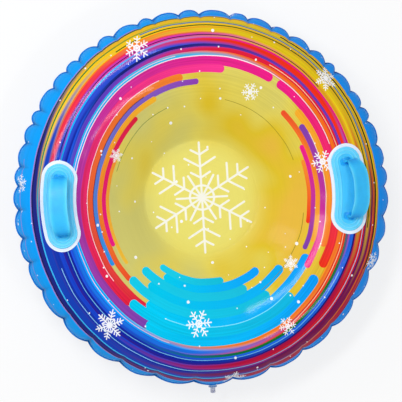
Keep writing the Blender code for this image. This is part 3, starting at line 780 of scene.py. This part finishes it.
def arc_group():
    """The mask of an arc with round ends, and how far along it a point lies."""
    inputs = dict.fromkeys(("Reach", "Angle", "Radius", "Width", "Middle", "Half"), "Float")
    outputs = {"Mask": "Float", "Along": "Float"}
    group, add, given = new_group("arc_with_round_ends", inputs, outputs)
    reach, angle, radius, width, middle, half = given
    turn = add("Math WRAP", [add("Math SUBTRACT", [angle, middle]), pi, -pi])
    beyond = add("Math SUBTRACT", [add("Math ABSOLUTE", [turn]), half])
    beyond = add("Math MULTIPLY", [add("Math MAXIMUM", [beyond, 0]), radius])
    place = add("CombineXYZ", [beyond, add("Math SUBTRACT", [reach, radius])])
    distance = add("VectorMath LENGTH", [place], out="Value")
    inside = add("Math MULTIPLY_ADD", [width, 0.5, 0.4 * MM])
    depth = add("Math SUBTRACT", [inside, distance])
    mask = add("MapRange", [depth, 0, 0.8 * MM, 0, 1])
    along = add("Math MULTIPLY_ADD", [add("Math DIVIDE", [turn, half]), 0.5, 0.5])
    add("NodeGroupOutput", {"Mask": mask, "Along": along})
    return group


def crystal_group(name, strokes, ring_radius):
    """A six-armed snow crystal of unit size: arms with twigs, and a small ring."""
    inputs = {"Place": "Vector", "Line": "Float"}
    group, add, (place, line) = new_group(name, inputs, {"Mask": "Float"})
    parts = add("SeparateXYZ", [place]).node.outputs
    angle = add("Math ARCTAN2", [parts["Y"], parts["X"]])
    folded = add("Math ABSOLUTE", [add("Math WRAP", [angle, pi / 6, -pi / 6])])
    reach = add("VectorMath LENGTH", [place], out="Value")
    x = add("Math MULTIPLY", [reach, add("Math COSINE", [folded])])
    y = add("Math MULTIPLY", [reach, add("Math SINE", [folded])])
    nearest = add("Math ABSOLUTE", [add("Math SUBTRACT", [reach, ring_radius])])
    for start, lean, length in strokes:
        way = heading(lean)
        place = add("CombineXYZ", [add("Math SUBTRACT", [x, start]), y])
        along = add("VectorMath DOT_PRODUCT", [place, way], out="Value")
        along = add("Clamp", {"Value": along, "Min": 0, "Max": length})
        foot = add("VectorMath SCALE", {"Vector": way, "Scale": along})
        off = add("VectorMath DISTANCE", [place, foot], out="Value")
        nearest = add("Math MINIMUM", [nearest, off])
    depth = add("Math SUBTRACT", [add("Math MULTIPLY", [line, 1.25]), nearest])
    mask = add("Math DIVIDE", [depth, add("Math MULTIPLY", [line, 0.5])], use_clamp=True)
    add("NodeGroupOutput", {"Mask": mask})
    return group


def nearest_crystal(add, place, crystals):
    """Each point's place in its nearest crystal."""
    best, least = None, None
    for radius, at, size, turn in crystals:
        own = {"Vector": place, "Location": heading(at) * radius * MM}
        own |= {"Rotation": (0, 0, radians(turn)), "Scale": (size * MM,) * 3}
        own = add("Mapping", own, vector_type="TEXTURE")
        away = add("VectorMath LENGTH", [own], out="Value")
        if best is None:
            best, least = own, away
            continue
        nearer = add("Math LESS_THAN", [away, least])
        best = add("Mix", {0: nearer, 4: best, 5: own}, out=1, data_type="VECTOR")
        least = add("Math MINIMUM", [least, away])
    return best


def ring_inks(add, reach, angle):
    """Inks of the rings: a ramp to each quarter, blended in long swings."""
    where = add("MapRange", [reach, RINGS_START * MM, RINGS_END * MM, 0, 1])
    quarters = []
    for column in range(4):
        ramp = add("ValToRGB", [where]).node
        ramp.color_ramp.interpolation = "CONSTANT"
        stops = ramp.color_ramp.elements
        stops.remove(stops[-1])
        for start, *inks in RINGS:
            position = (start - RINGS_START) / (RINGS_END - RINGS_START)
            stop = stops.new(position) if start else stops[0]
            stop.color = linear(inks[column])
        quarters.append(ramp.outputs["Color"])
    swing = add("Math SINE", [add("Math MULTIPLY", [where, 47])])
    swung = add("Math MULTIPLY_ADD", [swing, 0.35, angle])
    cosine = add("Math COSINE", [swung])
    left = add("MapRange", [cosine, 0.5, -0.5, 0, 1], **SOFTLY)
    sine = add("Math MULTIPLY_ADD", [left, -0.4, add("Math SINE", [swung])])
    low = add("MapRange", [sine, 0.34, -0.34, 0, 1], **SOFTLY)
    upper = add("Mix", {0: left, 6: quarters[0], 7: quarters[1]}, **COLOURS)
    lower = add("Mix", {0: left, 6: quarters[3], 7: quarters[2]}, **COLOURS)
    return add("Mix", {0: low, 6: upper, 7: lower}, **COLOURS), cosine


def field_ink(add, place, reach, cosine):
    """The yellow field: pale on the seat, olive yellow at the left as painted shade, gold at the
    right.
    """
    cloud = add("TexNoise", {"Vector": place, "Scale": 5.5, "Detail": 1})
    # Painted shade: the field turns olive towards the left
    cloud = add("Math MULTIPLY_ADD", [cosine, 0.17, cloud])
    clouds = add("ValToRGB", [cloud])
    stops = clouds.node.color_ramp.elements
    for position, _ in FIELD_YELLOWS_SHADED_LEFT[1:-1]:
        stops.new(position)
    for stop, (position, colour) in zip(stops, FIELD_YELLOWS_SHADED_LEFT):
        stop.position, stop.color = position, linear(colour)
    pale = add("MapRange", [reach, 0.1, 0.2, 1, 0], **SOFTLY)
    return add("Mix", {0: pale, 6: clouds, 7: linear(SEAT_YELLOW)}, **COLOURS)


def with_marks(add, ink, reach, angle):
    """Lays the arcs and thin lines over the ink."""
    arc = arc_group()
    for radius, width, first, last, *colours in [*ARCS, *LINES]:
        given = {"Reach": reach, "Angle": angle, "Radius": radius * MM, "Width": width * MM}
        given |= {"Middle": radians(first + last) / 2, "Half": radians(last - first) / 2}
        mark = add("Group", given, node_tree=arc).node.outputs
        colour = linear(colours[0])
        if len(colours) > 1:
            blend = {0: mark["Along"], 6: colour, 7: linear(colours[1])}
            colour = add("Mix", blend, clamp_factor=True, **COLOURS)
        ink = add("Mix", {0: mark["Mask"], 6: ink, 7: colour}, **COLOURS)
    return ink


def with_streaks(add, ink, way, reach, ring_reach):
    """Streaks 4 mm apart along the rings, and painted shade: darker ink where the folds draw the
    film in.
    """
    lift = add("CombineXYZ", {"Z": add("Math MULTIPLY", [ring_reach, 1 / (4 * MM)])})
    lined = add("VectorMath ADD", [add("VectorMath SCALE", {"Vector": way, "Scale": 1.3}), lift])
    streak = {"Vector": lined, "Scale": 1, "Detail": 2, "Roughness": 0.55}
    shade = add("MapRange", [add("TexNoise", streak), 0.3, 0.72, 0.82, 1.12])
    strength = add("MapRange", [reach, 0.28, 0.38, 0.1, 1])
    calm = add("MapRange", [ring_reach, 445 * MM, 480 * MM, 1, 0.25])
    shade = add("Mix", {0: add("Math MULTIPLY", [strength, calm]), 2: 1, 3: shade})
    # Painted shade in the folds: the ink darkens with how far the film is drawn in
    painted_fold_shade = add("Attribute", out="Fac", attribute_name="painted_fold_shade")
    painted_fold_darkening = add("MapRange", [painted_fold_shade, 0.3 * MM, 8 * MM, 1, 0.6])
    return add("VectorMath SCALE", {"Vector": ink, "Scale": add("Math MULTIPLY", [shade, painted_fold_darkening])})


def with_dots(add, ink, place):
    """Lays dots of two sizes over the ink, one at most in each cell."""
    for spacing, radius, share in DOTS:
        given = {"Vector": place, "Scale": 1 / (spacing * MM), "Randomness": 0.9}
        cells = add("TexVoronoi", given, voronoi_dimensions="2D").node.outputs
        pick = add("SeparateColor", [cells["Color"]]).node.outputs
        kept = add("Math LESS_THAN", [pick["Red"], share])
        largest = radius / spacing
        size = add("MapRange", [pick["Green"], 0, 1, 0.6 * largest, largest])
        depth = add("Math SUBTRACT", [size, cells["Distance"]])
        dot = add("Math MULTIPLY", [depth, 5 / largest], use_clamp=True)
        dot = add("Math MULTIPLY", [add("Math MULTIPLY", [dot, kept]), 0.92])
        ink = add("Mix", {0: dot, 6: ink, 7: linear(CRYSTAL_WHITE)}, **COLOURS)
    return ink


def with_crystals(add, ink, place, stored):
    """Lays crystals of two kinds over the ink, and the ornate one on the seat."""
    given = {"Vector": stored, "Rotation": (0, 0, pi / 6), "Scale": (SEAT_CRYSTAL_SIZE,) * 3}
    on_seat = add("Mapping", given, vector_type="TEXTURE")
    feathered, starred = (nearest_crystal(add, place, CRYSTALS[start::2]) for start in (0, 1))
    drawings = (
        ("feathered_crystal", FEATHERED, 0.24, feathered, 0.045, 0.94),
        ("starred_crystal", STARRED, 0.16, starred, 0.04, 0.94),
        ("ornate_crystal", ORNATE, 0.22, on_seat, 0.019, 0.76),
    )
    for name, strokes, ring_radius, own, line, strength in drawings:
        crystal = crystal_group(name, strokes, ring_radius)
        drawn = add("Group", {"Place": own, "Line": line}, node_tree=crystal)
        mask = add("Math MULTIPLY", [drawn, strength])
        ink = add("Mix", {0: mask, 6: ink, 7: linear(CRYSTAL_WHITE)}, **COLOURS)
    return ink


def new_material(name, spacing, detail):
    """An empty material, what adds to it, and clouds so many millimetres apart."""
    made, add = emptied(bpy.data.materials.new(name))
    position = add("TexCoord", out="Object")
    cloud = add("TexNoise", {"Vector": position, "Scale": 1 / (spacing * MM), "Detail": detail})
    return made, add, position, cloud


def drifting(add, cloud, pale, deep):
    """A colour that drifts between two tints with the clouds."""
    shade = add("MapRange", [cloud, *NOISE_SPAN, 0, 1])
    return add("Mix", {0: shade, 6: linear(deep), 7: linear(pale)}, **COLOURS)


def grain(add, position, spacing, height, strength):
    """A fine relief of the surface. Its spacing and height are in millimetres."""
    relief = add("TexNoise", {"Vector": position, "Scale": 1 / (spacing * MM), "Detail": 2})
    return add("Bump", {"Height": relief, "Distance": height * MM, "Strength": strength})


def printed_film():
    """Screen-printed soft PVC film with solid glossy inks."""
    made, add, position, haze = new_material("glossy_printed_pvc_film", 60, 3)
    stored = add("Attribute", out="Vector", attribute_name="print_place")
    place = add("VectorMath SUBTRACT", [stored, PRINT_SHIFT])
    place = add("VectorMath MULTIPLY", [place, PRINT_STRETCH])
    parts = add("SeparateXYZ", [place]).node.outputs
    angle = add("Math ARCTAN2", [parts["Y"], parts["X"]])
    reach = add("VectorMath LENGTH", [place], out="Value")
    way = add("VectorMath NORMALIZE", [place])

    # The rings wander up to 6 mm, as a broad brush does
    wander = add("TexNoise", {"Vector": way, "Scale": 1.7, "Detail": 2})
    wander = add("Math MULTIPLY_ADD", [wander, 12 * MM, -6 * MM])
    ring_reach = add("Math ADD", [reach, wander])
    rings, cosine = ring_inks(add, ring_reach, angle)
    field = field_ink(add, place, reach, cosine)
    on_rings = add("MapRange", [ring_reach, 382.2 * MM, 383 * MM, 0, 1])
    ink = add("Mix", {0: on_rings, 6: field, 7: rings}, **COLOURS)
    ink = with_marks(add, ink, ring_reach, angle)
    ink = with_streaks(add, ink, way, reach, ring_reach)
    ink = with_dots(add, ink, place)
    ink = with_crystals(add, ink, place, stored)

    # Painted shade along the rim: the weld and the steep wall beside it are mixed towards a deeper
    # blue
    from_middle = add("VectorMath LENGTH", [stored], out="Value")
    weld_start, weld_full = RIM_FLAT - 11 * MM, RIM_FLAT - 6 * MM
    painted_rim_shade = add("MapRange", [from_middle, weld_start, weld_full, 0, 0.55])
    ink = add("Mix", {0: painted_rim_shade, 6: ink, 7: linear(RIM_SHADE_BLUE)}, **COLOURS)

    # Smooth film with faint haze and ripple, duller on the margin
    rough = add("MapRange", [haze, *NOISE_SPAN, 0.09, 0.15])
    rough = add("Math ADD", [rough, add("MapRange", [reach, 0.47, 0.51, 0, 0.46])])
    surface = {"Base Color": ink, "Roughness": rough, "IOR": 1.4, "Specular IOR Level": 0.13}
    surface["Normal"] = grain(add, position, 26, 0.5, 0.12)
    add("OutputMaterial", [add("BsdfPrincipled", surface)])
    return made


def plain_film(name, pale, deep, roughness):
    """Thick PVC film: dyed through, satin gloss, a faint leathery grain and scuffs."""
    made, add, position, cloud = new_material(name, 45, 4)
    scuff = {"Vector": position, "Scale": 1 / (9 * MM), "Detail": 5, "Roughness": 0.7}
    rough = add("MapRange", [add("TexNoise", scuff), 0.3, 0.75, roughness, roughness + 0.12])
    surface = {"Base Color": drifting(add, cloud, pale, deep), "Roughness": rough, "IOR": 1.5}
    surface["Normal"] = grain(add, position, 1.6, 0.2, 0.15)
    add("OutputMaterial", [add("BsdfPrincipled", surface)])
    return made


def clear_moulding(name, pale, deep):
    """Translucent soft PVC: milky, a little of what is behind it shows."""
    made, add, _, cloud = new_material(name, 6, 3)
    rough = add("MapRange", [cloud, *NOISE_SPAN, 0.18, 0.3])
    surface = {"Base Color": drifting(add, cloud, pale, deep), "Roughness": rough}
    surface |= {"IOR": 1.53, "Transmission Weight": 0.1}
    add("OutputMaterial", [add("BsdfPrincipled", surface)])
    return made


def soft_moulding(name):
    """Moulded soft PVC: milky sky blue, paler on thin edges, with painted shade in the grooves,
    wells and band ends and a painted highlight along the band's edges.
    """
    made, add, position, cloud = new_material(name, 30, 2)
    tint = add("ValToRGB", [add("Attribute", out="Fac", attribute_name="tone_and_painted_light")])
    stops = tint.node.color_ramp.elements
    stops.new(0.5)
    for stop, colour in zip(stops, ("#7edcfd", "#42c8fb", "#0ea4f2")):
        stop.color = linear(colour)
    level = add("MapRange", [cloud, *NOISE_SPAN, 0.95, 1.05])
    tint = add("VectorMath SCALE", {"Vector": tint, "Scale": level})
    rough = add("MapRange", [cloud, *NOISE_SPAN, 0.36, 0.44])
    surface = {"Base Color": tint, "Roughness": rough, "IOR": 1.5, "Specular IOR Level": 0.28}
    surface |= {"Subsurface Weight": 0.15, "Subsurface Radius": (0.002, 0.004, 0.006)}
    surface |= {"Subsurface Scale": 1, "Normal": grain(add, position, 2.5, 0.2, 0.12)}
    add("OutputMaterial", [add("BsdfPrincipled", surface)])
    return made


# Making the pieces


def dress(piece, material, body, node):
    """Gives a piece its material and body, and hides the solid that it stands for."""
    piece.data.materials.append(material)
    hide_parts(node)
    if body:
        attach(piece, body)


def make_sheets():
    """The printed top and the sliding base."""
    top = film("printed_top", 1, TOP_THICKNESS, 0)
    dress(top, printed_film(), "sled", "top_sheet")
    base = film("sliding_base", -1, BASE_THICKNESS, REST_BAND)
    blue = plain_film("thick_blue_pvc_film", "#0f8ae6", "#0c7ed8", 0.2)
    dress(base, blue, "sled", "base_sheet")


def make_handles():
    """On each side the welded patch, the ribbed plate and the band."""
    white = plain_film("white_pvc_patch", "#e8f0fb", "#dae6f7", 0.24)
    blue = soft_moulding("moulded_sky_blue_pvc")
    sides = (
        ("left", pi, LEFT_GRIP_LEAN, 0, 0),
        ("right", 0, RIGHT_GRIP_LEAN, RIGHT_GRIP_UNTWIST, RIGHT_GRIP_LEAN),
    )
    for side, angle, lean, untwist, bend in sides:
        patch = crest_plate("welded_patch_" + side, 0, patch_rows(), angle)
        dress(patch, white, "sled", "handle_patch_" + side)
        plate = crest_plate("ribbed_plate_" + side, PLATE_BORDER, plate_rows(), angle, True)
        dress(plate, blue, "sled", "handle_base_" + side)
        band = grip_band("soft_band_" + side, angle, lean, untwist)
        dress(band, blue, None, "handle_grip_" + side)
        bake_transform(band)


def make_valve():
    """The collar in the base's wall, its tube, the stopper, the tether and the flap."""
    lilac = clear_moulding("translucent_lilac_pvc", "#dcddec", "#c2c4da")
    bluish = clear_moulding("translucent_blue_pvc", "#b4dafc", "#98c8f4")
    finishes = {"clear_blue": bluish, "clear_lilac": lilac}
    for name, body, slot, node, ends, profile in VALVE_PIECES:
        piece = turned(name, profile, ends, EDGE_SOFTNESS)
        dress(piece, finishes[slot], body, node)
    ends = []
    for name, inner, outer, low, high in TETHER_ENDS:
        profile = ((inner, low), (outer, low), (outer, high), (inner, high))
        ends.append(turned(name, profile, "ring", THIN_SOFTNESS))
    tether = joined("valve_tether", tether_arm(), *ends)
    dress(tether, lilac, "plug", "valve_strap")
    flap = turned("valve_flap_disc", FLAP_DISC, "flat", THIN_SOFTNESS)
    dress(flap, lilac, "flap", "valve_flap")


# The studio

FLOOR_Z = cad_box[0][2] - 0.2 * MM  # a hair under the sled
FLOOR_GLOW = 0.75
LIGHT_ALL_ROUND = 0.49
LIGHT_IN_GLOSS = 0.25

# Area lamps, turned to the seat: place, sides and power
LAMPS = (
    ("key", (-1, 1, 3.2), 0.44, 1.8, 56),
    ("side", (-2.4, 1.6, 2.2), 0.9, 0.9, 14),
    ("fill", (1.2, -1.1, 3.1), 0.3, 0.9, 18),
)

IMAGE_SIZE = 402
MM_PER_PIXEL = 2.686
RING_MIDDLE_PIXEL = (202, 197.5)
CAMERA_DISTANCE = 5.2
CAMERA_TILT = radians(4)
CAMERA_ROLL = 3.5


def make_studio():
    """Even light all round, a floor that the camera sees near white, and soft lamps."""
    scene = bpy.context.scene
    scene.view_settings.view_transform = "Standard"
    scene.world, add = emptied(bpy.data.worlds.new("studio"))
    path = add("LightPath").node.outputs
    dimmed = [path["Is Glossy Ray"], LIGHT_IN_GLOSS - LIGHT_ALL_ROUND, LIGHT_ALL_ROUND]
    strength = add("Math MULTIPLY_ADD", dimmed)
    light = add("Background", {"Color": (1, 1, 1, 1), "Strength": strength})
    add("OutputWorld", [light])

    bpy.ops.mesh.primitive_plane_add(size=60, location=(0, 0, FLOOR_Z))
    floor = bpy.context.object
    floor.name = "studio_floor"
    made, add = emptied(bpy.data.materials.new("pale_matt_floor"))
    path = add("LightPath").node.outputs
    seen = add("Math ADD", [path["Is Camera Ray"], path["Is Transmission Ray"]])
    seen = add("Math ADD", [seen, path["Is Glossy Ray"]], use_clamp=True)
    share = add("Math MULTIPLY", [seen, FLOOR_GLOW])
    matt = add("BsdfDiffuse", {"Color": (0.9, 0.9, 0.9, 1)})
    glow = add("Emission", {"Color": (1, 1, 1, 1), "Strength": 1})
    add("OutputMaterial", [add("MixShader", [share, matt, glow])])
    floor.data.materials.append(made)

    for name, place, wide, long, power in LAMPS:
        light = bpy.data.lights.new(name, "AREA")
        light.shape = "RECTANGLE"
        light.size, light.size_y = wide, long
        light.energy = power
        lamp = in_scene(name, light)
        back = Vector(place).normalized()
        along = Vector((-back.y, back.x, 0)).normalized()
        lamp.matrix_world = standing(Vector(place), back, along.cross(back))
        lamp.visible_camera = False


def make_camera():
    """Almost straight above, a little from the left, turned as the photo is."""
    right, up = heading(-CAMERA_ROLL), heading(90 - CAMERA_ROLL)
    across, down = ((pixel - IMAGE_SIZE / 2) * MM_PER_PIXEL * MM for pixel in RING_MIDDLE_PIXEL)
    target = up * down - right * across
    back = Vector((0, 0, cos(CAMERA_TILT))) - right * sin(CAMERA_TILT)
    camera = in_scene("camera", bpy.data.cameras.new("camera"))
    width = IMAGE_SIZE * MM_PER_PIXEL * MM
    camera.data.lens = camera.data.sensor_width * CAMERA_DISTANCE / width
    camera.data.clip_end = 100
    side = up.cross(back).normalized()
    camera.matrix_world = standing(target + back * CAMERA_DISTANCE, back, side)
    bpy.context.scene.camera = camera


make_camera()
make_studio()
make_sheets()
make_handles()
make_valve()
